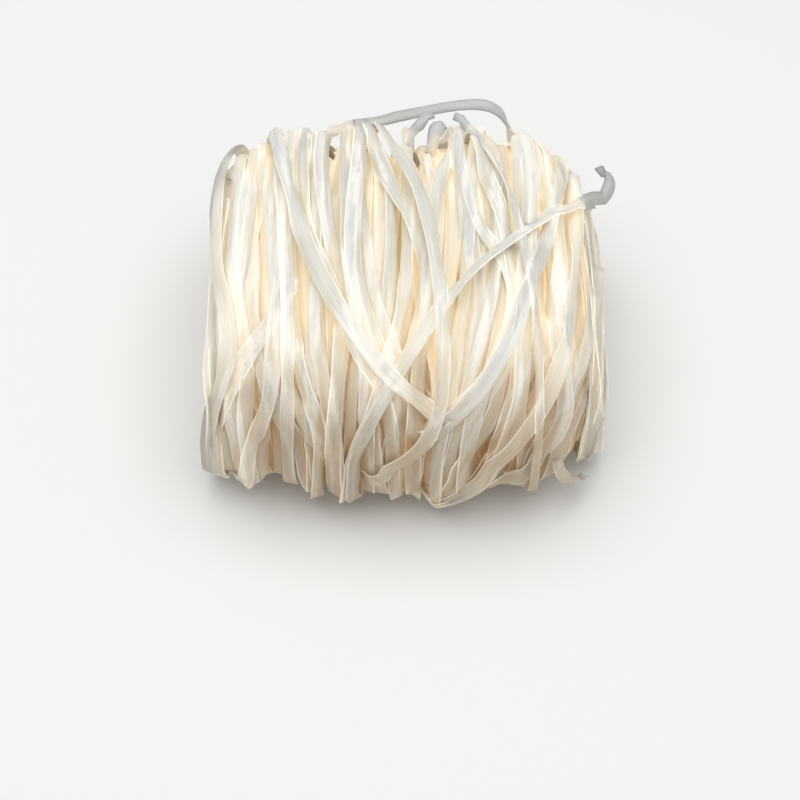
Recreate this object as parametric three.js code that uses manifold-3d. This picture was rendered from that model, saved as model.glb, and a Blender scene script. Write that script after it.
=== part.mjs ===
// A bundle of dry flat rice noodles: one hank of long ribbons, wound loop on loop round a lying
// roll and dried stiff. Millimetres, +Z up. X runs along the roll, -Y is the front, and the origin
// is on the table, at the middle of the flat spot that the bundle rests on.
import * as THREE from "three";
import { mergeVertices } from "three/addons/utils/BufferGeometryUtils.js";
import Module from "manifold-3d";

// Driving sizes of the hank.
const HANK_WIDTH = 158; // along the roll, from end loop to end loop
const HANK_DEPTH = 160; // front turn to back turn
const HANK_HEIGHT = 88; // table to the top of the loops
const NOODLE_WIDTH = 5;
const NOODLE_THICKNESS = 0.9;

// The roll's section: a round loaf that leans back a little and is flattened by its own weight.
const MIDDLE_HEIGHT = 0.42 * HANK_HEIGHT;
const LEAN = 0.08;
const SIDE_POWER = 0.85;
const TOP_POWER = 0.92;
const BASE_POWER = 0.5;
const BASE_CUT = 1; // how far the section runs below the table, before it is cut flat
const END_SHRINK = { left: 0.2, right: 0.38 }; // the end loops are this share smaller
const END_POWER = 5;
const SKIN_LENGTH = 2.6 * HANK_DEPTH; // once round the roll

// The roll's heart: the flat ring that the innermost loops close on.
const HEART_HALF_DEPTH = 0.25 * HANK_DEPTH;
const HEART_HALF_HEIGHT = 0.06 * HANK_HEIGHT;

// The core fills the roll under the noodles that show.
const CORE_HALF_WIDTH = HANK_WIDTH / 2 - 3;
const CORE_DEPTH = 5; // below the skin
const CORE_BARE_TURN = 0.07; // the core reaches the skin this near the underside's middle
const CORE_FULL_TURN = 0.17; // and is at its full depth from here on
const CORE_RING_POINTS = 30;
const CORE_SHOULDER = [ // the core's rounding: share of the half width, mm further in
  [0, 0], [0.6, 0], [0.75, 0], [0.86, 0.3], [0.94, 1.2], [1, 3.5],
];
const CORE_EYE = [ // the hollow eye in each end: share of the half width, share of the way to the heart
  [1, 0.68], [0.87, 0.76],
];

// The wound noodles lie in two storeys over the core, and smaller loops close the ends.
const LOOPS = 25;
const STOREY_LIFT = [-2.6, -0.6];
const STOREY_DRIFT = [2, 12]; // how far a loop may wander along the roll in one turn
const LOOP_START = 0.05; // both ends of a loop run into the core near the underside
const LOOP_STEPS = 24;
const LOOP_DIVE = 6; // how deep they run in
const LOOP_DIVE_TURN = 0.12; // and from where
const END_LOOP_LIFTS = [-11, -18];
const END_LOOP_START = 0.012;
const END_LOOP_STEPS = 18;
const LOOSE_STEPS = 20;
const SEED = 20;

// The noodles that lie loose on top. Each point is [mm along the roll, turn, mm above the skin];
// a turn is 0 under the middle, 0.25 at the front, 0.5 at the top and 0.75 at the back.
const LOOSE_NOODLES = {
  // stands clear of the ridge like a handle
  handle: [[-50, 0.59, -3], [-40, 0.62, 0], [-28, 0.64, 3], [-3, 0.64, 7], [17, 0.64, 11],
    [34, 0.64, 13], [40, 0.645, 10], [43, 0.65, 3], [45, 0.68, -4]],
  handleBrace: [[-6, 0.56, -3], [0, 0.6, 0.5], [5, 0.635, 3], [11, 0.65, 8]],
  stub: [[4, 0.55, -4], [9.5, 0.59, 0.5], [14.5, 0.64, 5]],
  handleFall: [[19, 0.645, 10], [24, 0.63, 4], [28, 0.6, 1], [35, 0.56, 1], [42, 0.5, 1],
    [47, 0.43, 0.6], [49, 0.36, 0.4], [49, 0.28, 0.5], [48, 0.2, 0], [46, 0.12, -4]],
  // crosses the front from the right end, its cut tip curled up
  curledTip: [[77, 0.585, 28], [81, 0.585, 30], [83.5, 0.58, 27], [82.5, 0.57, 23], [78.5, 0.56, 17],
    [72, 0.545, 6], [63, 0.515, 1.6], [50, 0.495, 1.6], [37.5, 0.475, 1.8], [25.5, 0.455, 1.8],
    [11, 0.417, 2], [-2.5, 0.366, 1], [-10, 0.33, -4]],
  crossing: [[-56, 0.66, -3], [-54, 0.6, -0.5], [-48, 0.53, 0.6], [-40, 0.48, 1], [-34, 0.45, 1.2],
    [-24, 0.41, 1.4], [-11, 0.366, 1.2], [3, 0.332, 0.4], [14, 0.31, -4]],
  hook: [[-20, 0.76, -3], [-17, 0.68, 0.4], [-12, 0.62, 1.4], [-7, 0.58, 1.6], [2.5, 0.525, 1.6],
    [8.5, 0.485, 1.2], [12, 0.435, 1.2], [13, 0.38, 1.6], [12.5, 0.33, 1.8], [6, 0.28, 1.8],
    [-6.5, 0.25, 1.6], [-16, 0.238, 0.6], [-26, 0.23, -4]],
  sweepHigh: [[60, 0.64, -3], [62, 0.58, 0.6], [60, 0.53, 0.8], [50, 0.465, 0.8], [43, 0.425, 0.8],
    [36.5, 0.383, 0.8], [25.5, 0.34, 0.6], [13, 0.305, -0.4], [2, 0.28, -4]],
  sweepLow: [[66, 0.6, -3], [67, 0.53, 0.4], [64, 0.46, 0.8], [60, 0.39, 0.8], [50.5, 0.323, 1.2],
    [37, 0.267, 1.6], [15.5, 0.215, 1.6], [2, 0.19, 0.4], [-10, 0.17, -4]],
  leftFall: [[-66, 0.78, -3], [-68, 0.7, 2], [-71.5, 0.64, 6], [-76, 0.59, 4], [-76.5, 0.535, 1],
    [-74.5, 0.475, 0.8], [-70, 0.43, 0.8], [-67.5, 0.386, 0.8], [-70.5, 0.344, 1], [-74.5, 0.318, 1.2],
    [-78, 0.26, 1.4], [-78, 0.2, 0.8], [-76, 0.1, -4]],
  leftCrossing: [[-40, 0.47, -4], [-47, 0.43, 0.4], [-54.5, 0.395, 1], [-63, 0.365, 1.6],
    [-69, 0.33, 2.2], [-75, 0.285, 2.6], [-78, 0.235, 2], [-77, 0.17, 0.6], [-73, 0.09, -4]],
};

const wasm = await Module();
wasm.setup();

// A steady source of numbers from 0 to 1, the same at each run (the mulberry32 rule).
function steadyNumbers(seed) {
  let state = seed;
  return () => {
    state = (state + 0x6d2b79f5) | 0;
    let mixed = Math.imul(state ^ (state >>> 15), 1 | state);
    mixed = (mixed + Math.imul(mixed ^ (mixed >>> 7), 61 | mixed)) ^ mixed;
    return ((mixed ^ (mixed >>> 14)) >>> 0) / 2 ** 32;
  };
}

const next = steadyNumbers(SEED);
const between = (low, high) => low + (high - low) * next();
const signedPower = (value, power) => Math.sign(value) * Math.abs(value) ** power;
const bell = (value, centre, spread) => Math.exp(-(((value - centre) / spread) ** 2));

// How much smaller the loops are at x than at the middle of the roll.
function endScale(x) {
  const shrink = x < 0 ? END_SHRINK.left : END_SHRINK.right;
  return 1 - shrink * Math.min(Math.abs(x / (HANK_WIDTH / 2)), 1) ** END_POWER;
}

// The skin is a superellipse round the roll: blunt and flat below the middle, domed above it.
function skinPoint(x, turn) {
  const across = Math.sin(2 * Math.PI * turn);
  const down = Math.cos(2 * Math.PI * turn);
  const z = down < 0
    ? MIDDLE_HEIGHT + (HANK_HEIGHT - MIDDLE_HEIGHT) * Math.abs(down) ** TOP_POWER
    : MIDDLE_HEIGHT - (MIDDLE_HEIGHT + BASE_CUT) * Math.abs(down) ** BASE_POWER;
  const y = (-HANK_DEPTH / 2) * signedPower(across, SIDE_POWER) + LEAN * (z - MIDDLE_HEIGHT);
  return new THREE.Vector3(x, y * endScale(x), z * endScale(x));
}

// The point of the heart that faces the same way as the skin point.
function heartPoint(x, turn) {
  const y = -HEART_HALF_DEPTH * Math.sin(2 * Math.PI * turn);
  const z = MIDDLE_HEIGHT - HEART_HALF_HEIGHT * Math.cos(2 * Math.PI * turn);
  return new THREE.Vector3(x, y * endScale(x), z * endScale(x));
}

// The way out of the roll at a skin point, from the heart.
function outward(x, turn) {
  return skinPoint(x, turn).sub(heartPoint(x, turn)).normalize();
}

// A point of the bundle from its place along the roll, its turn and its lift above the skin.
function bundlePoint(x, turn, lift) {
  return skinPoint(x, turn).addScaledVector(outward(x, turn), lift);
}

// A closed geometry from rings of equal length, with a flat fan over the first and the last ring.
// Each ring runs anticlockwise as seen from the ring after it.
function skinOfRings(rings) {
  const count = rings[0].length;
  const middles = [rings[0], rings.at(-1)].map((ring) =>
    ring.reduce((sum, p) => sum.add(p), new THREE.Vector3()).divideScalar(count));
  const points = [...rings.flat(), ...middles];
  const index = [];
  const firstMiddle = points.length - 2;
  const lastMiddle = points.length - 1;
  const lastRing = (rings.length - 1) * count;
  for (let i = 0; i < count; i++) {
    const j = (i + 1) % count;
    for (let start = 0; start < lastRing; start += count) {
      index.push(start + i, start + j, start + count + j);
      index.push(start + i, start + count + j, start + count + i);
    }
    index.push(firstMiddle, j, i);
    index.push(lastMiddle, lastRing + i, lastRing + j);
  }
  return new THREE.BufferGeometry().setFromPoints(points).setIndex(index);
}

// A noodle is a flat strip along its path. Each step of the path is { x, turn, lift, roll }, and
// the strip lies flat on the roll there, turned by roll about its own length.
function noodleGeometry(steps) {
  const centres = steps.map((s) => bundlePoint(s.x, s.turn, s.lift));
  const rings = centres.map((centre, i) => {
    const after = centres[Math.min(i + 1, centres.length - 1)];
    const before = centres[Math.max(i - 1, 0)];
    const along = after.clone().sub(before).normalize();
    const side = outward(steps[i].x, steps[i].turn).cross(along).normalize();
    const face = along.clone().cross(side);
    side.applyAxisAngle(along, steps[i].roll).multiplyScalar(NOODLE_WIDTH / 2);
    face.applyAxisAngle(along, steps[i].roll).multiplyScalar(NOODLE_THICKNESS / 2);
    return [[1, 1], [-1, 1], [-1, -1], [1, -1]].map(([a, b]) =>
      centre.clone().addScaledVector(side, a).addScaledVector(face, b));
  });
  return skinOfRings(rings);
}

// One loop of the winding: it leaves the core in front of the underside, goes up the front, over
// the top and down the back, and runs into the core again.
function woundNoodle({ x, lift, drift, loose, start, dive, steps }) {
  const slant = between(-drift, drift);
  const sway = between(-1, 1) * (0.5 + 0.2 * drift);
  const swayPhase = between(0, 2 * Math.PI);
  const arch = loose * between(0, 1) ** 2;
  const archTurn = between(0.54, 0.66);
  const sag = 0.3 * loose * between(0, 1);
  const sagTurn = between(0.18, 0.26);
  const tilt = between(-0.12, 0.12) * (1 + loose / 4);
  return noodleGeometry(Array.from({ length: steps + 1 }, (_, i) => {
    const share = i / steps;
    const turn = start + (1 - 2 * start) * share;
    const wave = Math.sin(2 * Math.PI * share + swayPhase);
    const fromBase = Math.min(turn, 1 - turn);
    const dip = dive * (1 - THREE.MathUtils.smoothstep(fromBase, start, LOOP_DIVE_TURN));
    return {
      x: (x + slant * (share - 0.5) + sway * wave) * (1 - 0.01 * dip),
      turn,
      lift: lift - dip + arch * bell(turn, archTurn, 0.045) + sag * bell(turn, sagTurn, 0.06),
      roll: tilt * wave,
    };
  }));
}

// A loose noodle follows a smooth curve through its own points, drawn on the skin rolled out flat.
function looseNoodle(points) {
  const route = new THREE.CatmullRomCurve3(
    points.map(([x, turn, lift]) => new THREE.Vector3(x, turn * SKIN_LENGTH, lift)));
  return noodleGeometry(route.getSpacedPoints(LOOSE_STEPS).map((p) => (
    { x: p.x, turn: p.y / SKIN_LENGTH, lift: p.z, roll: 0 })));
}

// One ring of points round the roll, each given by its turn.
function ringRound(pointAt) {
  return Array.from({ length: CORE_RING_POINTS }, (_, k) => pointAt(k / CORE_RING_POINTS));
}

// The core is a loaf of rings that follow the skin from below it, and come out to it over the
// underside, so that the bundle rests on the core's own flat. Its shoulders round off to flat ends,
// and each end is sunk in its middle, at the flat eye that the innermost loops leave.
function coreGeometry() {
  const shoulderRing = (x, inset) => ringRound((turn) => {
    const fromBase = Math.min(turn, 1 - turn);
    const buried = THREE.MathUtils.smoothstep(fromBase, CORE_BARE_TURN, CORE_FULL_TURN);
    return bundlePoint(x, turn, -CORE_DEPTH * buried - inset);
  });
  const eyeRing = (x, inward) => ringRound((turn) => skinPoint(x, turn).lerp(heartPoint(x, turn), inward));
  const ringsTo = (side) => [
    ...CORE_SHOULDER.map(([share, inset]) => shoulderRing(side * share * CORE_HALF_WIDTH, inset)),
    ...CORE_EYE.map(([share, inward]) => eyeRing(side * share * CORE_HALF_WIDTH, inward)),
  ];
  return skinOfRings([...ringsTo(1).toReversed(), ...ringsTo(-1).slice(1)]);
}

function solidOf(geometry) {
  const merged = mergeVertices(geometry, 1e-4);
  return new wasm.Manifold(new wasm.Mesh({
    numProp: 3,
    vertProperties: merged.attributes.position.array,
    triVerts: new Uint32Array(merged.index.array),
  }));
}

function geometryOf(solid) {
  const { vertProperties, triVerts } = solid.getMesh();
  return new THREE.BufferGeometry()
    .setAttribute("position", new THREE.BufferAttribute(vertProperties, 3))
    .setIndex(new THREE.BufferAttribute(triVerts, 1));
}

// All the room under the table.
function belowTable() {
  const size = 3 * HANK_WIDTH;
  const box = new THREE.BoxGeometry(size, size, size).translate(0, 0, -size / 2);
  box.deleteAttribute("normal");
  box.deleteAttribute("uv");
  return solidOf(box);
}

// The largest piece by its outer wall, so that a sealed hollow is filled and a scrap is dropped.
function outerBody(solid) {
  const pieces = solid.decompose();
  return pieces.reduce((best, piece) => (piece.volume() > best.volume() ? piece : best));
}

function noodles() {
  const made = [];
  for (let i = 0; i < LOOPS; i++) {
    const storey = i % 2;
    made.push(woundNoodle({
      x: (HANK_WIDTH - NOODLE_WIDTH) * (i / (LOOPS - 1) - 0.5) + between(-1, 1),
      lift: STOREY_LIFT[storey],
      drift: STOREY_DRIFT[storey],
      loose: storey * 6,
      start: LOOP_START,
      dive: LOOP_DIVE,
      steps: LOOP_STEPS,
    }));
  }
  for (const side of [-1, 1])
    for (const lift of END_LOOP_LIFTS)
      made.push(woundNoodle({
        x: side * (CORE_HALF_WIDTH + 0.3 * NOODLE_WIDTH),
        lift,
        drift: 0,
        loose: 0,
        start: END_LOOP_START,
        dive: 0,
        steps: END_LOOP_STEPS,
      }));
  return [...made, ...Object.values(LOOSE_NOODLES).map(looseNoodle)];
}

function noodleBundle() {
  const heap = noodles().map(solidOf).reduce((sum, noodle) => sum.add(noodle), solidOf(coreGeometry()));
  const noodleMaterial = new THREE.MeshStandardMaterial({
    color: new THREE.Color(0.86, 0.82, 0.73),
    roughness: 0.5,
    metalness: 0,
  });
  const mesh = new THREE.Mesh(geometryOf(outerBody(heap.subtract(belowTable()))), noodleMaterial);
  mesh.name = "noodle_bundle";
  return mesh;
}

export default new THREE.Group().add(noodleBundle());
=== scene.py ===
import math

import bpy
import numpy as np
from mathutils import Matrix, Vector


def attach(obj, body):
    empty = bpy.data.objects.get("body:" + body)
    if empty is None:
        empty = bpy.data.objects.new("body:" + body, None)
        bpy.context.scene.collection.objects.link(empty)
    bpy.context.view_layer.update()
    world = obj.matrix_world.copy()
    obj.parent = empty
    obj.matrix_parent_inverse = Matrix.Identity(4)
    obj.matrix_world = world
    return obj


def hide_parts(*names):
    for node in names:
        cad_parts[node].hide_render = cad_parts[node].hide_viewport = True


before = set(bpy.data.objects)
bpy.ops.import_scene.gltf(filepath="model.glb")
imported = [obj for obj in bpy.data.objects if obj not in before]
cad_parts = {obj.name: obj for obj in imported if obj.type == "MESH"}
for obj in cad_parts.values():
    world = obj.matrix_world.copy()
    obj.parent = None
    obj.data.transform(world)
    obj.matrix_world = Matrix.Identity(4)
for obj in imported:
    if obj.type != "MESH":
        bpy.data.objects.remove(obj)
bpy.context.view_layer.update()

MM = 0.001

# ---- Table, light and camera -------------------------------------------------------------------
# The bundle lies on a plain pale table in soft daylight that comes mostly from above. It is seen
# as a person standing at the table sees it, as in the photograph.
VIEW_HEIGHT = math.radians(51)
LENS = 85.0
SENSOR = 36.0  # mm, as the lens
PHOTO_PIXELS = 800
PIXELS_PER_METRE = 2480  # at the bundle's middle
MIDDLE = Vector((0, 0, 44 * MM))
MIDDLE_PIXEL = (408, 297)  # where the photograph shows the bundle's middle

view_right = Vector((1, 0, 0))
view_up = Vector((0, math.sin(VIEW_HEIGHT), math.cos(VIEW_HEIGHT)))
view_back = Vector((0, -math.cos(VIEW_HEIGHT), math.sin(VIEW_HEIGHT)))
camera_distance = LENS / SENSOR * PHOTO_PIXELS / PIXELS_PER_METRE
right_shift = (PHOTO_PIXELS / 2 - MIDDLE_PIXEL[0]) / PIXELS_PER_METRE
up_shift = (MIDDLE_PIXEL[1] - PHOTO_PIXELS / 2) / PIXELS_PER_METRE
camera = bpy.data.objects.new("camera", bpy.data.cameras.new("camera"))
camera.data.lens = LENS
camera.data.sensor_width = SENSOR
camera.data.clip_start = 0.05
camera.location = MIDDLE + camera_distance * view_back + right_shift * view_right + up_shift * view_up
camera.rotation_euler = (math.pi / 2 - VIEW_HEIGHT, 0, 0)
bpy.context.collection.objects.link(camera)
bpy.context.scene.camera = camera


def soft_lamp(name, place, size, watts, colour):
    """A square lamp of the given size, at a place, that faces the bundle's middle."""
    lamp = bpy.data.objects.new(name, bpy.data.lights.new(name, "AREA"))
    lamp.data.size = size
    lamp.data.energy = watts
    lamp.data.color = colour
    lamp.location = place
    lamp.rotation_euler = (MIDDLE - Vector(place)).to_track_quat("-Z", "Y").to_euler()
    bpy.context.collection.objects.link(lamp)


soft_lamp("window_lamp", (-0.04, 0.0, 1.25), 1.6, 12.6, (1.0, 1.0, 0.985))
soft_lamp("front_lamp", (0.3, -1.2, 0.7), 1.2, 0.3, (1.0, 0.95, 0.87))

world = bpy.data.worlds.new("daylight")
world.use_nodes = True
world.node_tree.nodes["Background"].inputs["Color"].default_value = (0.98, 0.99, 1.0, 1)
world.node_tree.nodes["Background"].inputs["Strength"].default_value = 0.43
bpy.context.scene.world = world
bpy.context.scene.view_settings.view_transform = "Standard"

TABLE_SIZE = 6.0
table_mesh = bpy.data.meshes.new("table")
half_table = TABLE_SIZE / 2
table_mesh.from_pydata(
    [(x, y, 0) for x, y in ((-1, -1), (1, -1), (1, 1), (-1, 1))], [], [(0, 1, 2, 3)])
table_mesh.transform(Matrix.Scale(half_table, 4))
table = bpy.data.objects.new("table", table_mesh)
bpy.context.collection.objects.link(table)
table_paint = bpy.data.materials.new("table_paint")
table_paint.use_nodes = True
table_bsdf = table_paint.node_tree.nodes["Principled BSDF"]
table_bsdf.inputs["Base Color"].default_value = (0.96, 0.96, 0.955, 1)
table_bsdf.inputs["Roughness"].default_value = 0.8
table.data.materials.append(table_paint)

# ---- The heart ---------------------------------------------------------------------------------
# Deep in the hank the loops are packed too close to tell apart. The heart is that packed mass: a
# lying roll, flattened under its own weight, whose ends close on the innermost loops.
HANK_WIDTH = 158 * MM  # along the roll, from end loop to end loop
HANK_DEPTH = 160 * MM  # front turn to back turn
HANK_HEIGHT = 88 * MM
MIDDLE_HEIGHT = 0.42 * HANK_HEIGHT  # where the roll is deepest
LEAN = 0.08
SIDE_POWER = 0.85
TOP_POWER = 0.92
BASE_POWER = 0.5
BASE_DIP = 1 * MM
LEFT_SHRINK = 0.2  # the end loops are this share smaller
RIGHT_SHRINK = 0.38
END_POWER = 5
LINE_HALF_DEPTH = 0.25 * HANK_DEPTH
LINE_HALF_HEIGHT = 0.06 * HANK_HEIGHT


def signed_power(value, power):
    """|value|^power, with the sign of the value."""
    return np.sign(value) * np.abs(value) ** power


def bell(value, centre, spread):
    """exp(-((value - centre) / spread)^2)"""
    return np.exp(-(((value - centre) / spread) ** 2))


def unit(vectors):
    """Each vector over its own length."""
    return vectors / np.maximum(np.linalg.norm(vectors, axis=-1, keepdims=True), 1e-12)


def end_scale(x):
    """1 at the roll's middle, less towards its ends: 1 - shrink * |2x / width|^5."""
    shrink = np.where(x < 0, LEFT_SHRINK, RIGHT_SHRINK)
    return 1 - shrink * np.minimum(np.abs(x) / (HANK_WIDTH / 2), 1) ** END_POWER


def skin(x, turn):
    """The roll's outside. Round the roll it is a superellipse, (sin^0.85, cos^0.92) above the
    middle height and (sin^0.85, cos^0.5) below it, leaning back, times the end scale. A turn is
    0 under the middle, 0.25 at the front, 0.5 at the top and 0.75 at the back."""
    across = np.sin(2 * np.pi * turn)
    down = np.cos(2 * np.pi * turn)
    above = (HANK_HEIGHT - MIDDLE_HEIGHT) * np.abs(down) ** TOP_POWER
    below = (MIDDLE_HEIGHT + BASE_DIP) * np.abs(down) ** BASE_POWER
    z = MIDDLE_HEIGHT + np.where(down < 0, above, -below)
    y = -HANK_DEPTH / 2 * signed_power(across, SIDE_POWER) + LEAN * (z - MIDDLE_HEIGHT)
    scale = end_scale(x)
    return np.stack(np.broadcast_arrays(x, y * scale, z * scale), axis=-1)


def heart_line(x, turn):
    """A flat ellipse inside the roll, times the end scale: what the innermost loops close on."""
    y = -LINE_HALF_DEPTH * np.sin(2 * np.pi * turn)
    z = MIDDLE_HEIGHT - LINE_HALF_HEIGHT * np.cos(2 * np.pi * turn)
    scale = end_scale(x)
    return np.stack(np.broadcast_arrays(x, y * scale, z * scale), axis=-1)


def place(x, turn, lift):
    """The point at a lift over the skin, along the line from the heart line through the skin."""
    return skin(x, turn) + lift[..., None] * unit(skin(x, turn) - heart_line(x, turn))


def closed_mesh(name, points, quads, fans):
    """A smooth mesh from points, four-sided faces and, for each flat end, one many-sided face."""
    mesh = bpy.data.meshes.new(name)
    corners = np.concatenate([quads.ravel(), fans.ravel()]).astype(np.int32)
    quad_starts = 4 * np.arange(len(quads))
    fan_starts = quads.size + fans.shape[1] * np.arange(len(fans))
    mesh.vertices.add(len(points))
    mesh.vertices.foreach_set("co", points.astype(np.float32).ravel())
    mesh.loops.add(len(corners))
    mesh.loops.foreach_set("vertex_index", corners)
    mesh.polygons.add(len(quads) + len(fans))
    mesh.polygons.foreach_set("loop_start", np.concatenate([quad_starts, fan_starts]).astype(np.int32))
    mesh.polygons.foreach_set("use_smooth", np.ones(len(quads) + len(fans), dtype=bool))
    mesh.update(calc_edges=True)
    mesh.validate()
    return mesh


def ring_faces(rings, ring_points):
    """Faces of a tube of rings, each anticlockwise seen from the next one, and its two ends."""
    ring, point = np.meshgrid(np.arange(rings - 1), np.arange(ring_points), indexing="ij")
    after = (point + 1) % ring_points
    quads = np.stack([ring * ring_points + point, ring * ring_points + after,
                      (ring + 1) * ring_points + after, (ring + 1) * ring_points + point], axis=-1)
    first = np.arange(ring_points)[::-1]
    last = (rings - 1) * ring_points + np.arange(ring_points)
    return quads.reshape(-1, 4), np.stack([first, last])


HEART_DEPTH = 15 * MM  # under the roll's outside
HEART_FROM_END = 12 * MM
HEART_ROUNDING = 6 * MM
HEART_STATIONS = 41
HEART_RING_POINTS = 160
RIDGE_HEIGHT = 0.5 * MM  # the heart is ridged as packed loops are, and the ridges sway
RIDGE_SPACING = 5.5 * MM
heart_share = np.linspace(1, -1, HEART_STATIONS)[:, None]
heart_turn = np.arange(HEART_RING_POINTS)[None, :] / HEART_RING_POINTS
heart_x = (HANK_WIDTH / 2 - HEART_FROM_END) * heart_share + 0 * heart_turn
heart_inset = HEART_DEPTH + HEART_ROUNDING * heart_share ** 8
heart_sway = 0.6 * np.sin(2 * np.pi * 3 * heart_turn)
heart_ridges = RIDGE_HEIGHT * np.sin(2 * np.pi * (heart_x / RIDGE_SPACING + heart_sway))
heart_points = place(heart_x, heart_turn + 0 * heart_x, heart_ridges - heart_inset)
heart = bpy.data.objects.new("packed_heart", closed_mesh(
    "packed_heart", heart_points.reshape(-1, 3), *ring_faces(HEART_STATIONS, HEART_RING_POINTS)))
bpy.context.collection.objects.link(heart)
heart_starch_painted_glow = bpy.data.materials.new("packed_starch")
heart_starch_painted_glow.use_nodes = True
heart_bsdf = heart_starch_painted_glow.node_tree.nodes["Principled BSDF"]
# Painted light and shade: the tan base colour paints the warm shade deep in the hank, and the emission
# paints a glow of the light that comes through the pile.
heart_bsdf.inputs["Base Color"].default_value = (0.70, 0.56, 0.34, 1)
heart_bsdf.inputs["Roughness"].default_value = 0.7
heart_bsdf.inputs["Emission Color"].default_value = (0.85, 0.66, 0.38, 1)
heart_bsdf.inputs["Emission Strength"].default_value = 0.2
heart.data.materials.append(heart_starch_painted_glow)

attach(heart, "root")
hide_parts("noodle_bundle")

# ---- The wound noodles -------------------------------------------------------------------------
# Rice paste is steamed as a sheet, cut into flat ribbons and wound loop on loop while soft. The
# ribbons then dry stiff, so each one bridges what lies under it, rolls a little and leaves air.
NOODLE_WIDTH = 6.8 * MM
NOODLE_THICKNESS = 0.55 * MM
CUP = 0.6 * MM  # how far a noodle's middle stands out from its edges, at the most
STEP = 3.2 * MM
FINE_STEP = 2.4 * MM  # for the noodles in full view
TURN_LENGTH = 2.6 * HANK_DEPTH  # once round the roll
CELL = 1 * MM
BASE_SINK = 3.2 * MM  # under the roll the noodles are pressed up into it by this much
WOUND_LIMIT = HANK_WIDTH / 2 - 3.5 * MM
# The section of a noodle in half widths and half thicknesses: flat, with slightly thicker edges.
SECTION = np.array([(1, 0), (0.95, 0.9), (0.7, 0.85), (0.35, 0.8), (0, 0.8), (-0.35, 0.8), (-0.7, 0.85),
                    (-0.95, 0.9), (-1, 0), (-0.95, -0.9), (-0.5, -0.85), (0, -0.8), (0.5, -0.85),
                    (0.95, -0.9)])
draw = np.random.default_rng(11)

grid_half = 92 * MM  # a little past the loosest noodle, along the roll
grid_columns = int(2 * grid_half / CELL) + 1
grid_rows = int(TURN_LENGTH / CELL)
# How high the pile reaches over the skin, over each square millimetre of the unrolled skin.
pile_top = np.full((grid_columns, grid_rows), -HEART_DEPTH)
# Where the thick edges of noodles lie uppermost, 1, or show faintly through others, less than 1. They
# become painted highlight lines, also on the noodles over them.
edge_lines = np.zeros_like(pile_top)
EDGE_SHOWS = 0.5  # how much of an edge still shows through each noodle over it
laid = []


def cells(x, turn):
    """The column and row of the square millimetre that a place on the skin lies in."""
    column = np.clip(np.round((x + grid_half) / CELL).astype(int), 0, grid_columns - 1)
    row = np.round(turn * grid_rows).astype(int) % grid_rows
    return column, row


def smooth(values, reach):
    """The running mean over `reach` neighbours each way along the first axis, taken twice."""
    for _ in range(2):
        padded = np.pad(values, [(reach, reach)] + [(0, 0)] * (values.ndim - 1), mode="edge")
        values = np.lib.stride_tricks.sliding_window_view(padded, 2 * reach + 1, axis=0).mean(axis=-1)
    return values


def widest(values, reach):
    """The largest value among `reach` neighbours each way."""
    padded = np.pad(values, reach, mode="edge")
    return np.lib.stride_tricks.sliding_window_view(padded, 2 * reach + 1).max(axis=1)


def sideways(x, turn):
    """The unit direction to a path's side on the unrolled skin: the path's own, turned by 90."""
    run = np.stack([np.gradient(x), np.gradient(turn) * TURN_LENGTH], axis=-1)
    along = unit(run)
    return -along[:, 1], along[:, 0]


STEEPEST = 0.6  # slope across a noodle that it still lies flat on
FREE_AIR = 2 * MM  # with this much air under it, a noodle twists as it likes
WHOLE_TILT = 1.2  # radians, past which a noodle counts as on its edge
EDGE_NEAR = (-0.5, 0, 0.5)  # mm round a point where an edge still shows at it


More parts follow.
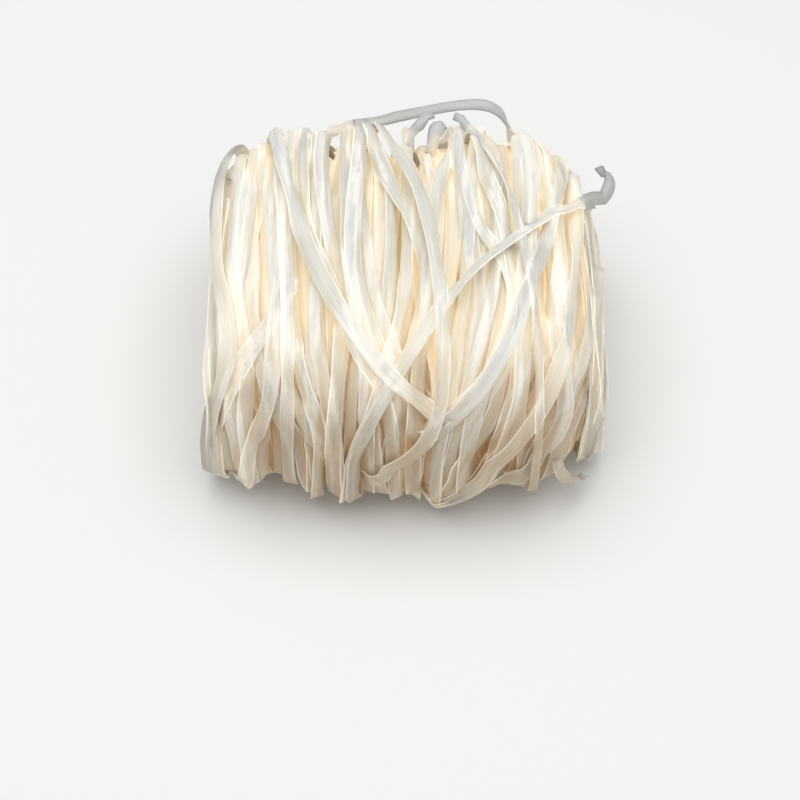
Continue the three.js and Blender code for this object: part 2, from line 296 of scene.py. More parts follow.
def lay(x, turn, hover, twist, width, group, dive=0.0, stiff=1):
    """Lays a noodle on the pile along a path. It rests on the highest places under it, as a stiff
    strip does: tilt = slope of the pile across it, height = the pile's top under it, both smoothed
    along it, the more so the more `stiff`. It is never lower than `hover`, and twists by `twist`
    where it is free to. Where `dive` is under 0 it slips down between its neighbours by that much.
    Then the pile gets its height, and the noodle keeps the air under it and the edges it covers."""
    side_x, side_turn = sideways(x, turn)
    across = 0.5 * width * SECTION[None, :, 0]
    under = pile_top[cells(x[:, None] + across * side_x[:, None],
                           turn[:, None] + across * side_turn[:, None] / TURN_LENGTH)]
    slope = (under * across).sum(axis=1) / (across ** 2).sum()
    slope = np.clip(smooth(slope, 2), -STEEPEST, STEEPEST)
    support = (under - slope[:, None] * across).max(axis=1)
    rest = smooth(support, 2)
    for _ in range(stiff):
        rest = rest + 0.8 * smooth(widest(np.maximum(support - rest, 0), stiff), stiff)
    height = smooth(np.maximum(rest, hover), 1)
    free = np.clip((height - support) / FREE_AIR, 0, 1)
    roll = np.arctan(slope) + twist * (0.35 + 0.65 * smooth(free, 2))
    rise = 0.35 * width * np.abs(np.sin(roll - np.arctan(slope)))
    lift = smooth(np.maximum(height, 0.8 * support + 0.2 * height + rise), 1)
    lift = lift + NOODLE_THICKNESS / 2 + dive

    fine = np.linspace(0, len(x) - 1, 5 * len(x))
    coarse = np.arange(len(x))
    fine_x, fine_turn, fine_lift, fine_roll, fine_side_x, fine_side_turn = (
        np.interp(fine, coarse, v)[:, None] for v in (x, turn, lift, roll, side_x, side_turn))
    reach = np.linspace(-0.5, 0.5, 13)[None, :] * width * np.cos(fine_roll)
    column, row = cells(fine_x + reach * fine_side_x, fine_turn + reach * fine_side_turn / TURN_LENGTH)
    top = fine_lift + reach * np.tan(np.clip(fine_roll, -WHOLE_TILT, WHOLE_TILT)) + NOODLE_THICKNESS / 2
    np.maximum.at(pile_top, (column, row), top)
    tilt = np.tan(np.clip(roll, -WHOLE_TILT, WHOLE_TILT))[:, None]
    gap = smooth(lift[:, None] + tilt * across - under, 1)
    ghost = 0
    for near in EDGE_NEAR:
        off = across + near * MM
        ghost = ghost + edge_lines[cells(x[:, None] + off * side_x[:, None],
                                         turn[:, None] + off * side_turn[:, None] / TURN_LENGTH)]
    ghost = ghost / len(EDGE_NEAR)
    edge_lines[column, row] *= EDGE_SHOWS
    edge_lines[column[:, [0, 1, -2, -1]], row[:, [0, 1, -2, -1]]] = 1
    laid.append({"group": group, "x": x, "turn": turn, "lift": lift, "roll": roll, "width": width,
                 "gap": gap, "ghost": ghost})


# Where many noodles cross, the pile is pressed flatter: heights over the skin as laid and as shown.
AS_LAID = np.array([-50, 1.5, 10, 17, 60]) * MM
AS_SHOWN = np.array([-50, 1.5, 5.5, 17, 60]) * MM


def pressed(lift):
    """The height as shown, from the height as laid."""
    return np.interp(lift, AS_LAID, AS_SHOWN)


def unpressed(lift):
    """The height to lay a noodle at, so that it shows at the given one."""
    return np.interp(lift, AS_SHOWN, AS_LAID)


def wander(count, turns, sizes):
    """A smooth random wobble along a path: a sum of waves, 1, 2, 3... of them to a turn."""
    values = np.zeros(count)
    along = np.linspace(0, turns, count)
    for waves, size in enumerate(sizes, start=1):
        values += size * draw.normal() * np.sin(2 * np.pi * (waves * along + draw.random()))
    return values


def kept_in(x):
    """Folds back at the roll's ends what would pass them, and rounds the fold off."""
    past = np.maximum(np.abs(x) - WOUND_LIMIT, 0)
    return smooth(np.clip(x - 2 * np.sign(x) * past, -WOUND_LIMIT, WOUND_LIMIT), 2)


# Where the wound loops part and the depth shows: mm along the roll, turn, mm pushed aside.
PARTINGS = [(3.6, .335, 6), (-41.5, .34, 4.5), (-9, .32, 3.5), (-1.6, .272, 4), (57, .385, 4),
            (50, .35, 3.5), (-22, .4, 3.5), (20, .43, 3.5)]
PARTING_REACH = 8 * MM
PARTING_TURNS = 0.035
PARTING_CREST = 0.5 * MM  # between going left and going right of a parting


def parted(x, turn):
    """Pushes a path away from each parting: by push * e^(-distance / reach), within its turns."""
    for centre, at, push in PARTINGS:
        away = x - centre * MM
        near = np.exp(-np.abs(away) / PARTING_REACH) * bell(turn % 1, at, PARTING_TURNS)
        x = x + push * MM * np.tanh(away / PARTING_CREST) * near
    return smooth(x, 1)


def ramp(value, start, end):
    """0 before `start`, 1 past `end` and smooth between: t * t * (3 - 2 * t)."""
    t = np.clip((value - start) / (end - start), 0, 1)
    return t * t * (3 - 2 * t)


def random_twist(count, start, reach, turn, often, strong):
    """A gentle roll all along a noodle, and here and there a short stretch turned on its edge."""
    twist = wander(count, reach, (0.14, 0.14, 0.12))
    for _ in range(draw.poisson(often)):
        twist = twist + draw.normal(0, strong) * bell(turn, start + reach * draw.random(), 0.05)
    return twist


# Pairs of turns, from which a change sets in smoothly and at which it is whole.
OVER_THE_RIDGE = (0.52, 0.68)
CLEAR_OF_THE_BASE = (0.98, 0.85)
DOWN_THE_FRONT = (0.46, 0.2)
UP_FROM_THE_BASE = (0.02, 0.12)
SWAY = (2.4 * MM, 2.1 * MM, 1.4 * MM, 0.8 * MM)  # along the roll, in 1, 2, 3 and 4 waves a turn
BOB = (0.5 * MM, 0.4 * MM, 0.3 * MM)  # up and down


def wind(x_start, hover, slant, sweep, start, group):
    """One loop round the roll from turn `start`, at x_start plus a slant and a sway. Coming down
    the front it may sweep in to where the hank is pinched: x - sweep * (x - pinch) * S, where S
    goes smoothly from 0 at turn 0.46 to 1 at turn 0.2. Outer loops are more restless, veer off as
    they pass the ridge, and stand off the pile there."""
    outer = group == "outer"
    count = int(TURN_LENGTH / (FINE_STEP if outer else STEP))
    turn = start + np.linspace(0, 1, count)
    x = x_start + slant * (turn - 0.5)
    x = x + (1.2 if outer else 1) * wander(count, 1, SWAY)
    veer = draw.normal(0, 9 * MM) if outer else 0
    x = x + veer * ramp(turn % 1, *OVER_THE_RIDGE) * ramp(turn % 1, *CLEAR_OF_THE_BASE)
    down = ramp(turn % 1, *DOWN_THE_FRONT) * ramp(turn % 1, *UP_FROM_THE_BASE)
    x = kept_in(parted(x - sweep * (x - PINCH) * down, turn))
    twist = random_twist(count, start, 1, turn, often=1.4, strong=0.5) * (0.8 if outer else 0.4)
    level = hover + wander(count, 1, BOB)
    if outer:
        level = level + draw.gamma(1.0, 1.6 * MM) * bell(turn % 1, draw.uniform(0.57, 0.66), 0.035)
        level = level + draw.normal(0, 0.8 * MM) * bell(turn % 1, draw.uniform(0.17, 0.25), 0.06)
    lay(x, turn, level, twist, width=NOODLE_WIDTH * draw.uniform(0.62, 1.08), group=group)


DEEP_LOOPS = 76
OUTER_LOOPS = 12
DEEP_LEVELS = (-HEART_DEPTH, -6 * MM)  # the first and the last deep loop, over the skin
OUTER_LEVEL = -4.5 * MM
PINCH = -18 * MM
GOLDEN = 0.618034  # steps of this share spread the loops evenly along the roll
START_TURNS = (-0.14, 0.1)
for number in range(DEEP_LOOPS):
    wind(x_start=(HANK_WIDTH - 2 * MM) * ((number * GOLDEN + 0.3) % 1 - 0.5),
         hover=DEEP_LEVELS[0] + (DEEP_LEVELS[1] - DEEP_LEVELS[0]) * number / DEEP_LOOPS,
         slant=draw.normal(0, 34 * MM if draw.random() < 0.45 else 8 * MM),
         sweep=draw.uniform(0, 0.3), start=draw.uniform(*START_TURNS), group="deep")
for number in range(OUTER_LOOPS):
    wind(x_start=(HANK_WIDTH - 4 * MM) * ((number * GOLDEN + 0.1) % 1 - 0.5), hover=OUTER_LEVEL,
         slant=draw.normal(0, 36 * MM if draw.random() < 0.4 else 10 * MM),
         sweep=draw.uniform(0.1, 0.6), start=draw.uniform(*START_TURNS), group="outer")

# ---- The noodles that lie on top ---------------------------------------------------------------
# The last loops wound are the ones in full view. Each is a path of (mm along the roll, turn) down
# the front. Over the ridge and round the back and the base it goes on as its neighbours do.
TOP_PATHS = {
    "inner_left": [(-48, .41), (-47, .36), (-44, .33), (-39, .29), (-32, .26), (-22, .235)],
    "hidden_left": [(-46, .5), (-44, .4), (-42, .37), (-39, .34), (-35, .31), (-33, .28), (-35, .24)],
    "beside_middle": [(-38, .6), (-36, .5), (-35, .42), (-34, .38), (-32, .35), (-29, .31), (-27, .26)],
    "to_middle": [(-22, .56), (-17, .5), (-15, .46), (-12, .42), (-7, .39), (-3, .36), (-4, .27)],
    "ridge_bend": [(-34, .63), (-35, .55), (-34, .52), (-31, .49), (-26, .46), (-24, .42), (-26, .36)],
    "middle_narrow": [(-26, .62), (-25, .53), (-24, .5), (-24, .47), (-22, .43), (-16, .38)],
    "middle_left": [(-19, .64), (-19, .53), (-21, .5), (-21, .46), (-18, .43), (-13, .39), (-8, .36),
                    (-3, .33), (-2, .29), (-2, .25)],
    "left_of_middle": [(-42, .62), (-42, .54), (-40, .5), (-35, .47), (-29, .45), (-26, .42), (-22, .39),
                       (-15, .36), (-8, .34), (-7, .3)],
    "right_inner": [(36, .56), (34, .5), (33, .45), (31, .42), (27, .39), (23, .36), (20, .33),
                    (16, .28)],
    "right_corner": [(66, .5), (62, .45), (61, .4), (56, .35), (48, .31), (38, .265), (24, .235),
                     (12, .21)],
    "right_low": [(44, .44), (38, .4), (35, .37), (34, .35), (32, .31), (26, .28), (18, .25),
                  (12, .22)],
    "right_of_middle": [(26, .56), (24, .5), (22, .45), (20, .42), (18, .39), (18, .36), (15, .33),
                        (13, .3), (11, .26), (11, .22)],
    "right_ridge": [(20, .58), (23, .52), (28, .49), (36, .47), (40, .44), (41, .4), (40, .34),
                    (33, .28)],
    "right_bow": [(28, .59), (32, .53), (36, .5), (39, .47), (40, .43), (37, .4), (32, .37), (26, .34)],
    "right_sweep": [(46, .61), (46, .53), (46, .49), (46, .46), (43, .42), (38, .39), (31, .36),
                    (21, .33), (13, .315), (5, .3)],
    "right_front": [(52, .56), (49, .5), (48, .46), (50, .43), (51, .39), (51, .36), (46, .32),
                    (39, .28), (28, .24), (14, .21)],
    "right_wide": [(53, .59), (54, .53), (55, .5), (56, .46), (59, .42), (62, .39), (63, .35), (62, .31),
                   (58, .27)],
    "right_edge": [(61, .62), (67, .58), (72, .54), (73, .5), (73, .46), (75, .41), (76, .35), (75, .3),
                   (71, .25)],
    "left_slant": [(-62, .59), (-64, .52), (-65, .49), (-66, .45), (-66, .38), (-66, .3)],
    "left_second": [(-69, .6), (-69, .54), (-70, .5), (-68, .46), (-65, .43), (-62, .39), (-60, .36),
                    (-62, .3)],
    "left_crossing": [(-44, .45), (-47, .43), (-54.5, .395), (-63, .365), (-69, .33), (-75, .285),
                      (-77, .235), (-76, .17)],
    "left_straight": [(-58, .63), (-56, .54), (-53, .5), (-51, .46), (-50, .42), (-51, .38), (-52, .35),
                      (-53, .32), (-59, .28), (-63, .24)],
    "left_third": [(-54, .62), (-51, .54), (-48, .5), (-46, .46), (-45, .42), (-45, .36), (-46, .3)],
    "toward_hem": [(0, .5), (-1, .45), (-4, .4), (-9, .36), (-13, .31), (-19, .272), (-22, .24)],
    "right_hem": [(49, .53), (45, .47), (42, .41), (42, .36), (40, .3), (34, .25), (24, .215),
                  (14, .19)],
    "beside_hem": [(60, .48), (56, .42), (58, .36), (60, .31), (55, .27), (44, .235), (32, .22)],
    "middle_bend": [(-13, .57), (-7, .52), (0, .51), (4, .49), (7, .47), (8, .42), (4, .38)],
}


def follow(points):
    """A rounded path through (mm, turn) or (mm, turn, mm of lift) points: straight from each to the
    next in steps of about FINE_STEP, then the running mean over two steps each way, taken twice."""
    points = np.array(points)
    flat = np.stack([points[:, 0] * MM, points[:, 1] * TURN_LENGTH], axis=-1)
    lifts = points[:, 2] * MM if points.shape[1] > 2 else 0 * flat[:, 0]
    hops = np.linalg.norm(np.column_stack([np.diff(flat, axis=0), np.diff(lifts)]), axis=-1)
    run = np.concatenate([[0], np.cumsum(hops)])
    marks = np.linspace(0, run[-1], int(run[-1] / FINE_STEP) + 2)
    values = [np.interp(marks, run, column) for column in (flat[:, 0], flat[:, 1] / TURN_LENGTH, lifts)]
    return [np.concatenate([v[:1], smooth(v, 2)[1:-1], v[-1:]]) for v in values]


STARTS_ON_TOP = "left_crossing"  # its end is in view, so it has no run over the back
BACK_DRIFT = 7  # mm that a noodle may drift along the roll behind the ridge
BASE_STRAY = 4  # mm that it may stray under the base
for name, points in TOP_PATHS.items():
    top_x, top_turn = points[0]
    low_x, low_turn = points[-1]
    onward = 0.6 * (low_x - points[-2][0])
    drift = draw.normal(0, BACK_DRIFT, 3)
    stray = draw.normal(0, BASE_STRAY, 2)
    over = [(top_x + drift[0], 0.94), (top_x + drift[1], 0.8), (top_x + 0.5 * drift[2], 0.69)]
    over = [p for p in over if p[1] > top_turn + 0.03 and name != STARTS_ON_TOP]
    under = [(low_x + onward + 0.5 * stray[0], low_turn - 0.09), (low_x + stray[1], -0.02)]
    x, turn, _ = follow(over + points + under)
    x = kept_in(x + wander(len(x), 1, (0.4 * MM, 0.4 * MM, 0.3 * MM)))
    twist = random_twist(len(x), turn[0], turn[-1] - turn[0], turn, often=1.2, strong=0.45)
    hump = 3 * MM + draw.gamma(1.5, 1.5 * MM)
    level = OUTER_LEVEL + hump * bell(turn, draw.uniform(0.575, 0.64), 0.035)
    lay(x, turn, level, twist, width=NOODLE_WIDTH * draw.uniform(0.7, 1.05), group="top")

# ---- The loose noodles -------------------------------------------------------------------------
# A few ends worked free while the hank dried: they cross the others, stand up behind the ridge as
# a long low arch with its braces, and one curls up in the air at the right.
LOOSE_PATHS = {
    "right_foot": [(56, .25, -3), (59, .238, 1), (63, .222, 2), (67, .208, 2.5), (70, .2, 4)],
    "left_fall": [(-66, .78, -3), (-68, .7, 2), (-71.5, .64, 6), (-76, .59, 4), (-76.5, .535, 1),
                  (-74.5, .475, .8), (-70, .43, .8), (-67.5, .386, .8), (-70.5, .344, 1),
                  (-74.5, .318, 1.2), (-78, .26, 1.4), (-78, .2, .8), (-76, .1, -4)],
    "sweep_low": [(66, .6, -3), (67, .53, .4), (64, .46, .8), (60, .39, .8), (50.5, .323, 1.2),
                  (37, .267, 1.6), (26, .24, 1.6), (17, .218, 1.2), (12, .2, -4)],
    "sweep_high": [(60, .64, -3), (62, .58, .6), (60, .53, .8), (50, .465, .8), (43, .425, .8),
                   (36.5, .383, .8), (25.5, .34, .6), (13, .305, -.4), (2, .28, -4)],
    "arch_fall": [(19, .612, 9.5), (22, .61, 8), (24.5, .607, 5.5), (27.5, .6, 1.5), (30, .575, 1),
                  (36, .54, 1), (42, .5, 1), (47, .43, .6), (49, .36, .4), (49, .28, .5), (48, .2, 0),
                  (46, .12, -4)],
    "curled_tip": [(77.5, .584, 22), (80.5, .587, 25.5), (83.2, .583, 25), (82.7, .571, 21.5),
                   (78.5, .56, 16), (72, .545, 6), (63, .515, 1.6), (50, .495, 1.6), (37.5, .475, 1.8),
                   (25.5, .455, 1.8), (11, .417, 2), (-2.5, .366, 1), (-9, .335, .6), (-15, .305, .3),
                   (-20, .27, 0), (-22, .23, -.5), (-20, .16, -4)],
    "crossing": [(-56, .66, -3), (-54, .6, -.5), (-48, .53, .6), (-40, .48, 1), (-34, .45, 1.2),
                 (-24, .41, 1.4), (-11, .366, 1.2), (3, .332, .4), (14, .31, -4)],
    "hook": [(-20, .76, -3), (-17, .68, .4), (-12, .62, 1.4), (-7, .58, 1.6), (2.5, .525, 1.6),
             (8.5, .485, 1.2), (12, .435, 1.2), (13, .38, 1.6), (12.5, .33, 1.8), (6, .28, 1.8),
             (-6.5, .25, 1.6), (-13, .243, 1.2), (-19, .24, -4)],
    "stub": [(8.5, .598, -4), (10.5, .602, 1), (14.2, .606, 8.5)],
    "arch_brace": [(-1, .595, -4), (.3, .6, 1), (2.6, .603, 6), (6, .606, 8.5), (10, .61, 9)],
    "arch": [(-36, .61, -3), (-28, .635, 2), (-3, .64, 7), (17, .64, 11), (34, .64, 13),
             (40, .645, 10), (43, .65, 3), (45, .68, -4)],
}
# Each one's share of the usual width, and the share that the rest have.
LOOSE_WIDTHS = {"right_foot": 0.7, "arch": 0.72, "arch_brace": 0.7, "arch_fall": 0.5,
                "curled_tip": 0.82, "hook": 0.85}
PLAIN_WIDTH = 0.95
# Rolls, in radians, that turn the face of a noodle to the front where it stands behind the ridge,
# and the share of its path that has this roll.
FACING = {"arch": (1.2, 1), "arch_brace": (0.9, 1), "stub": (1.4, 1), "arch_fall": (1.1, 0.1),
          "left_fall": (-0.3, 1), "curled_tip": (-0.8, 0.13)}
TUCKED_LENGTH = 9 * MM  # an end that runs under its neighbours dives over this length
TUCKED_DEPTH = 5 * MM
for name, points in LOOSE_PATHS.items():
    x, turn, lift = follow(points)
    end = np.minimum(np.arange(len(x)), np.arange(len(x))[::-1]) * FINE_STEP
    tucked = np.where(lift < 0, np.clip(1 - end / TUCKED_LENGTH, 0, 1), 0)
    twist = random_twist(len(x), turn[0], turn[-1] - turn[0], turn, often=0.6, strong=0.3)
    facing, share = FACING.get(name, (0, 0))
    twist = twist + smooth(np.where(np.linspace(0, 1, len(x)) < share, facing, 0.0), 2)
    lay(x, turn, unpressed(np.maximum(lift, OUTER_LEVEL)), twist,
        width=NOODLE_WIDTH * LOOSE_WIDTHS.get(name, PLAIN_WIDTH), group="loose",
        dive=-TUCKED_DEPTH * tucked ** 2, stiff=2)

# ---- The ends of the roll ----------------------------------------------------------------------
# At each end the loops show their edges, ring inside ring, down to the flattened eye of the hank.
END_RINGS = 32
END_RING_SHARES = (0.04, 1.08)  # of the way from the skin to the heart line
EYE_DEPTH = 4  # mm that the innermost ring lies further in along the roll
RING_GAP = 3 * MM  # air beside a ring
for side in (-1, 1):
    for inward in np.linspace(*END_RING_SHARES, END_RINGS):
        reach = draw.uniform(0.75, 1.0)
        start = draw.random()
        count = int(reach * (1 - 0.45 * inward) * TURN_LENGTH / STEP)
        turn = start + reach * np.linspace(0, 1, count)
        x = side * (WOUND_LIMIT - (draw.uniform(0, 4) + EYE_DEPTH * inward) * MM)
        x = x + wander(count, 1, (2 * MM, 1.6 * MM, 1.2 * MM))
        way_in = np.linalg.norm(skin(x, turn) - heart_line(x, turn), axis=-1)
        lift = -inward * way_in + wander(count, 1, (0.9 * MM, 0.8 * MM, 0.5 * MM))
        roll = random_twist(count, start, reach, turn, often=1.5, strong=0.5)
        laid.append({"group": "end", "x": kept_in(x), "turn": turn, "lift": lift, "roll": roll,
                     "width": NOODLE_WIDTH * draw.uniform(0.85, 1.1),
                     "gap": np.full((count, len(SECTION)), RING_GAP),
                     "ghost": np.zeros((count, len(SECTION)))})


PRESSED_LAYER = 0.8 * MM


def on_the_table(points):
    """Squeezes what would reach under the table to a thin layer on it: k * ln(1 + e^(z / k))."""
    z = points[..., 2]
    height = np.maximum(z, 0) + PRESSED_LAYER * np.log1p(np.exp(-np.abs(z) / PRESSED_LAYER))
    return np.concatenate([points[..., :2], height[..., None]], axis=-1)


RIDGE_CUP = 1.1 * MM  # more cup, where a noodle bends over the ridge
KEEPS_TILT = 0.45  # how much a noodle tilts with the skin where the roll gets thinner to its ends
WIDTH_WAVES = (19 * MM, 7 * MM)  # the width swells a little in waves of these lengths over 2 pi
CUP_WAVE = 50 * MM


def noodle_rings(noodle):
    """A ring of points, the section, at each step of the path. Across the noodle is outward x
    along, and it is flat on the roll there, turned by its roll about its own length, and cupped:
    its middle stands out by cup * (1 - across^2)."""
    x, turn = noodle["x"], noodle["turn"]
    sink = BASE_SINK * bell((turn + 0.5) % 1, 0.5, 0.13)
    centre = place(x, turn, pressed(noodle["lift"]) - sink)
    along = unit(np.gradient(centre, axis=0))
    width_way = skin(x + MM, turn) - skin(x - MM, turn)
    width_way = width_way * np.array([1, KEEPS_TILT, KEEPS_TILT])
    out = unit(np.cross(width_way, skin(x, turn + 0.002) - skin(x, turn - 0.002)))
    side = unit(np.cross(out, along))
    face = np.cross(along, side)
    cos, sin = np.cos(noodle["roll"])[:, None], np.sin(noodle["roll"])[:, None]
    side, face = side * cos + face * sin, face * cos - side * sin
    along_it = np.arange(len(x)) * STEP
    own = noodle["width"] / MM
    wave = np.sin(along_it / WIDTH_WAVES[0] + 9 * own) + np.sin(along_it / WIDTH_WAVES[1] + turn[0])
    half_width = 0.5 * noodle["width"] * (1 + 0.05 * wave)[:, None] * SECTION[None, :, 0]
    cup = CUP * (0.3 + 0.5 * np.sin(along_it / CUP_WAVE + 7 * own))
    cup = (cup + RIDGE_CUP * bell(turn % 1, 0.6, 0.07))[:, None]
    rise = 0.5 * NOODLE_THICKNESS * SECTION[:, 1] + cup * (1 - SECTION[:, 0] ** 2)
    return centre[:, None] + side[:, None] * half_width[:, :, None] + face[:, None] * rise[:, :, None]


# What lies over a noodle: the finished pile, smoothed over 7 mm, without the noodles that stand free.
# This cover sets the painted warm shade and the painted glow of the noodles inside the pile.
FREE_STANDING = 10.5 * MM
PLAIN_PILE = 1 * MM
lid = np.where(pile_top > FREE_STANDING, PLAIN_PILE, pile_top)
for axis in (0, 0, 1, 1):
    lid = sum(np.roll(lid, shift, axis) for shift in range(-3, 4)) / 7

UNCOVERED = (6 * MM, 2 * MM)  # from no cover at all to the full one, as heights over the skin
# Noodles lifted clear of the pile are given more air under them here, so they get more of the painted
# shade of free noodles.
CLEAR_AIR = (6 * MM, 9 * MM)  # from where a noodle has clear air under it, and where all of it is
CLEAR_AIR_SHOWS = 1.5


def gathered(noodles):
    """The meshes of many noodles as one list of points and faces, and what the material reads at
    each point: where it is across and along its noodle, the noodle's own number from 0 to 1, the
    mm of pile over it and of air under it, and the edges under it."""
    points, quads, fans, across, length, own, cover, gap, ghost = ([] for _ in range(9))
    offset = 0
    for noodle in noodles:
        rings = noodle_rings(noodle)
        count = len(rings)
        noodle_quads, noodle_fans = ring_faces(count, len(SECTION))
        points.append(rings.reshape(-1, 3))
        quads.append(noodle_quads + offset)
        fans.append(noodle_fans + offset)
        offset += count * len(SECTION)
        across.append(np.tile(SECTION[:, 0], count))
        run = np.concatenate([[0], np.cumsum(np.linalg.norm(np.diff(rings[:, 0], axis=0), axis=-1))])
        length.append(np.repeat(run, len(SECTION)))
        own.append(np.full(count * len(SECTION), draw.random()))
        side_x, side_turn = sideways(noodle["x"], noodle["turn"])
        reach = 0.5 * noodle["width"] * SECTION[None, :, 0]
        over = lid[cells(noodle["x"][:, None] + reach * side_x[:, None],
                         noodle["turn"][:, None] + reach * side_turn[:, None] / TURN_LENGTH)]
        height = noodle["lift"][:, None] + reach * np.sin(noodle["roll"])[:, None]
        from_end = WOUND_LIMIT - np.abs(noodle["x"])[:, None]
        covered = np.minimum(over - height, 0.6 * from_end + 0.1 * np.abs(height))
        covered = np.where(covered > 0, covered * ramp(height, *UNCOVERED), covered)
        cover.append(smooth(covered, 1).ravel() / MM)
        clear_air = CLEAR_AIR_SHOWS * noodle["lift"] * ramp(noodle["lift"], *CLEAR_AIR)
        gap.append(np.maximum(noodle["gap"], clear_air[:, None]).ravel() / MM)
        ghost.append(noodle["ghost"].ravel())
    return [np.concatenate(part) for part in (
        points, quads, fans, across, length, own, cover, gap, ghost)]


def noodle_piece(name, noodles, material):
    """One piece of the bundle, from many noodles, with what the material reads on its points."""
    points, quads, fans, *read = gathered(noodles)
    mesh = closed_mesh(name, on_the_table(points), quads, fans)
    for attribute, values in zip(("across", "length", "own", "cover", "gap", "ghost"), read):
        layer = mesh.attributes.new(attribute, "FLOAT", "POINT")
        layer.data.foreach_set("value", values.astype(np.float32))
    piece = bpy.data.objects.new(name, mesh)
    bpy.context.collection.objects.link(piece)
    mesh.materials.append(material)
    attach(piece, "root")
    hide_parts("noodle_bundle")


# Colours of dried starch, most with painted light or shade in them. The uppermost colour is the pale
# starch with, in part, a painted cool sheen. The cream and deep colours paint the warm shade and light
# inside the pile. The colours for air under a noodle, for free noodles and their edges, for low down and
# for the ridge paint shade. The bright edge colours paint highlights. Where there are two, the colour of
# each noodle lies between them.
BACKED = ((0.84, 0.85, 0.875), (0.875, 0.865, 0.845))  # lying close on others
AIR_UNDER_SHADE = ((0.72, 0.68, 0.59), (0.77, 0.73, 0.64))  # with a little air under it
FREE_SHADE = (0.38, 0.395, 0.41)  # standing free
CREAM_SHADE = ((0.87, 0.77, 0.56), (0.88, 0.81, 0.65))  # just under the uppermost
DEEP_SHADE = ((0.78, 0.67, 0.46), (0.83, 0.74, 0.54))
LOW_SHADE = (0.50, 0.41, 0.29)  # low on the bundle, uppermost
LOW_DEEP_SHADE = (0.47, 0.315, 0.155)
RIDGE_SHADE = (0.55, 0.55, 0.55)  # on the ridge, uppermost
RIDGE_DEEP_SHADE = (0.42, 0.37, 0.29)
EDGE_HIGHLIGHT = (0.95, 0.93, 0.86)
FREE_EDGE_SHADE = (0.26, 0.27, 0.29)
EDGE_HIGHLIGHT_BENEATH = (0.93, 0.91, 0.86)  # seen through the noodle over it
DARK = (0.0, 0.0, 0.0)
DEPTH_LIGHT = (0.93, 0.86, 0.72)  # comes through the pile
LOW_LIGHT = (0.80, 0.56, 0.30)
EDGE_LIGHT = (0.9, 0.86, 0.74)


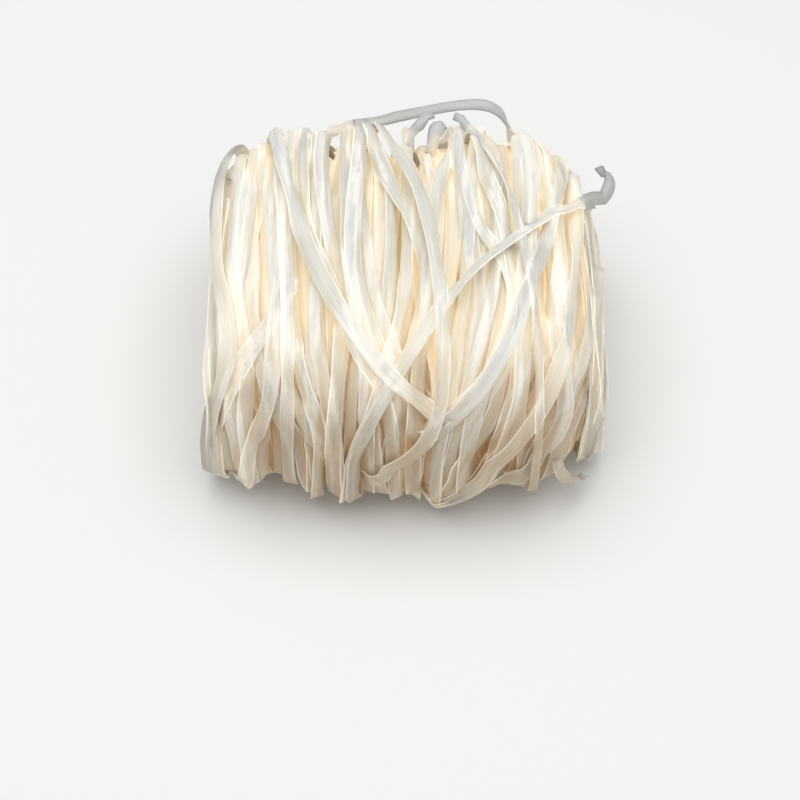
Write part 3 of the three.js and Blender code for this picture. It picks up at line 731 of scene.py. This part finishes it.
def rice_starch():
    """Dried rice starch: ivory and half clear, with its light and shade painted in. What is deep in the
    bundle is lit through other noodles and looks warmer: it is painted warmer and given a painted glow.
    Noodles with air under them, low on the bundle or on the ridge are painted darker. The thick edges
    catch the light as painted highlights, the edges beneath get painted highlights as if seen through,
    and fine streaks run lengthwise."""
    material = bpy.data.materials.new("rice_starch")
    material.use_nodes = True
    nodes, links = material.node_tree.nodes, material.node_tree.links
    bsdf = nodes["Principled BSDF"]

    def attribute(name):
        node = nodes.new("ShaderNodeAttribute")
        node.attribute_name = name
        return node.outputs["Fac"]

    def mapped(value, low, high, to_low=0.0, to_high=1.0):
        """Goes smoothly from to_low at low to to_high at high."""
        node = nodes.new("ShaderNodeMapRange")
        node.interpolation_type = "SMOOTHSTEP"
        links.new(value, node.inputs["Value"])
        node.inputs["From Min"].default_value = low
        node.inputs["From Max"].default_value = high
        node.inputs["To Min"].default_value = to_low
        node.inputs["To Max"].default_value = to_high
        return node.outputs["Result"]

    def reckoned(operation, a, b=0.0):
        node = nodes.new("ShaderNodeMath")
        node.operation = operation
        for value, socket in ((a, node.inputs[0]), (b, node.inputs[1])):
            if isinstance(value, float):
                socket.default_value = value
            else:
                links.new(value, socket)
        return node.outputs["Value"]

    def product(value, *others):
        for other in others:
            value = reckoned("MULTIPLY", value, other)
        return value

    def mixed(factor, a, b, blend="MIX"):
        """Colour a at factor 0 and colour b at factor 1. Sockets 6, 7 and 2 are the colours."""
        node = nodes.new("ShaderNodeMix")
        node.data_type = "RGBA"
        node.blend_type = blend
        if isinstance(factor, float):
            node.inputs["Factor"].default_value = factor
        else:
            links.new(factor, node.inputs["Factor"])
        for value, socket in ((a, node.inputs[6]), (b, node.inputs[7])):
            if isinstance(value, tuple):
                socket.default_value = (*value, 1)
            else:
                links.new(value, socket)
        return node.outputs[2]

    def noise(across_scale, length_scale, detail):
        """Noise on (across, length, own): long cells that run with the noodle."""
        vector = nodes.new("ShaderNodeCombineXYZ")
        links.new(product(attribute("across"), across_scale), vector.inputs["X"])
        links.new(product(attribute("length"), length_scale), vector.inputs["Y"])
        links.new(product(attribute("own"), 90.0), vector.inputs["Z"])
        node = nodes.new("ShaderNodeTexNoise")
        node.inputs["Scale"].default_value = 1
        node.inputs["Detail"].default_value = detail
        links.new(vector.outputs["Vector"], node.inputs["Vector"])
        return node.outputs["Fac"]

    # What the rest reads: cover and gap in mm, the height and the way from the middle in metres.
    own, cover, gap, ghost = (attribute(name) for name in ("own", "cover", "gap", "ghost"))
    to_edge = reckoned("ABSOLUTE", attribute("across"))
    position = nodes.new("ShaderNodeSeparateXYZ")
    links.new(nodes.new("ShaderNodeTexCoord").outputs["Object"], position.inputs["Vector"])
    height = position.outputs["Z"]
    to_end = reckoned("ABSOLUTE", position.outputs["X"])
    streaks = noise(5.5, 14.0, 4.0)
    clouds = noise(0.8, 45.0, 3.0)
    fine_lines = noise(17.0, 7.0, 2.0)

    # The colour, with painted shade in it: first darker by the air under a noodle, then warmer by what
    # lies over it, then darker by the place, low down and on the ridge.
    # Painted shade: where a little air lies under a noodle, in clouds, it is painted darker.
    thin = product(mapped(gap, 0.3, 3.2), mapped(clouds, 0.2, 0.6, 0.5, 1.0))
    free = mapped(gap, 6.0, 16.0)
    low = product(mapped(height, 0.04, 0.087, 1.0, 0.0), mapped(to_end, 0.045, 0.078, 1.0, 0.45))
    ridge = mapped(height, 0.076, 0.089, 0.0, 0.62)
    # The pale uppermost colour is the starch's own, and in its cool tint in part a painted sheen of the
    # sky.
    colour = mixed(thin, mixed(own, *BACKED), mixed(own, *AIR_UNDER_SHADE))
    # Painted shade: noodles standing free in the air are painted dark grey.
    colour = mixed(free, colour, FREE_SHADE)
    # Painted warm shade: the more pile lies over a noodle, the warmer it is painted, first cream and
    # then deep.
    colour = mixed(mapped(cover, -0.5, 3.0), colour, mixed(own, *CREAM_SHADE))
    colour = mixed(mapped(cover, 3.0, 10.0), colour, mixed(own, *DEEP_SHADE))
    # Painted shade: low on the bundle, less so at its ends, the noodles are painted darker and tan, more
    # so where covered.
    colour = mixed(low, colour, mixed(mapped(cover, -0.5, 5.0), LOW_SHADE, LOW_DEEP_SHADE))
    # Painted shade: on the ridge the noodles are painted greyer.
    colour = mixed(ridge, colour, mixed(mapped(cover, 0.0, 4.0), RIDGE_SHADE, RIDGE_DEEP_SHADE))

    # The painted highlights: the edges beneath, painted as seen through the noodle, and the noodle's own
    # edges. Then the streaks.
    # Painted highlight: the bright edges of the noodles beneath are painted on a noodle as if seen
    # through it, less where air lies under it and low down.
    painted_edges_beneath = product(mapped(ghost, 0.1, 0.8), mapped(gap, 1.0, 4.0, 0.65, 0.0),
                           mapped(low, 0.0, 1.0, 1.0, 0.3))
    colour = mixed(painted_edges_beneath, colour, EDGE_HIGHLIGHT_BENEATH)
    # Painted highlight: the thick edges are painted brighter, less so low down. On free noodles they are
    # painted darker instead.
    edge = product(mapped(to_edge, 0.75, 0.95), mapped(low, 0.0, 1.0, 0.75, 0.5))
    colour = mixed(edge, colour, mixed(free, EDGE_HIGHLIGHT, FREE_EDGE_SHADE))
    shade = product(mapped(streaks, 0.3, 0.7, 0.92, 1.03), mapped(fine_lines, 0.35, 0.65, 0.96, 1.02))
    tint = nodes.new("ShaderNodeCombineColor")
    for channel in ("Red", "Green", "Blue"):
        links.new(shade, tint.inputs[channel])
    colour = mixed(1.0, colour, tint.outputs["Color"], "MULTIPLY")
    links.new(colour, bsdf.inputs["Base Color"])
    links.new(mapped(streaks, 0.3, 0.7, 0.36, 0.52), bsdf.inputs["Roughness"])
    bump = nodes.new("ShaderNodeBump")
    bump.inputs["Strength"].default_value = 0.6
    bump.inputs["Distance"].default_value = 0.1 * MM
    links.new(streaks, bump.inputs["Height"])
    links.new(bump.outputs["Normal"], bsdf.inputs["Normal"])

    # The light that reaches the depth through the noodles, less of it low down, at the ends and on
    # the ridge, and the light that the edges gather.
    depth_light = product(mapped(cover, 0.0, 6.0), mapped(cover, 5.0, 11.0, 1.0, 0.8),
                          mapped(low, 0.1, 0.9, 1.0, 0.5), mapped(to_end, 0.062, 0.075, 1.0, 0.15),
                          mapped(height, 0.072, 0.088, 1.0, 0.3))
    glow = mixed(depth_light, DARK, mixed(low, DEPTH_LIGHT, LOW_LIGHT))
    edge_light = product(mapped(to_edge, 0.86, 1.0), mapped(low, 0.2, 1.0, 0.5, 0.2),
                         mapped(free, 0.0, 1.0, 1.0, 0.0))
    glow = mixed(edge_light, glow, EDGE_LIGHT)
    links.new(glow, bsdf.inputs["Emission Color"])
    bsdf.inputs["Emission Strength"].default_value = 0.19
    bsdf.inputs["Subsurface Weight"].default_value = 1.0
    bsdf.subsurface_method = "BURLEY"
    bsdf.inputs["Subsurface Radius"].default_value = (1.0, 1.0, 1.0)
    bsdf.inputs["Subsurface Scale"].default_value = 4 * MM
    return material


starch = rice_starch()
deep_noodles = [n for n in laid if n["group"] == "deep"]
half = len(deep_noodles) // 2
noodle_piece("deep_noodles_a", deep_noodles[:half], starch)
noodle_piece("deep_noodles_b", deep_noodles[half:], starch)
noodle_piece("outer_noodles", [n for n in laid if n["group"] == "outer"], starch)
noodle_piece("top_noodles", [n for n in laid if n["group"] == "top"], starch)
noodle_piece("loose_noodles", [n for n in laid if n["group"] == "loose"], starch)
noodle_piece("end_noodles", [n for n in laid if n["group"] == "end"], starch)
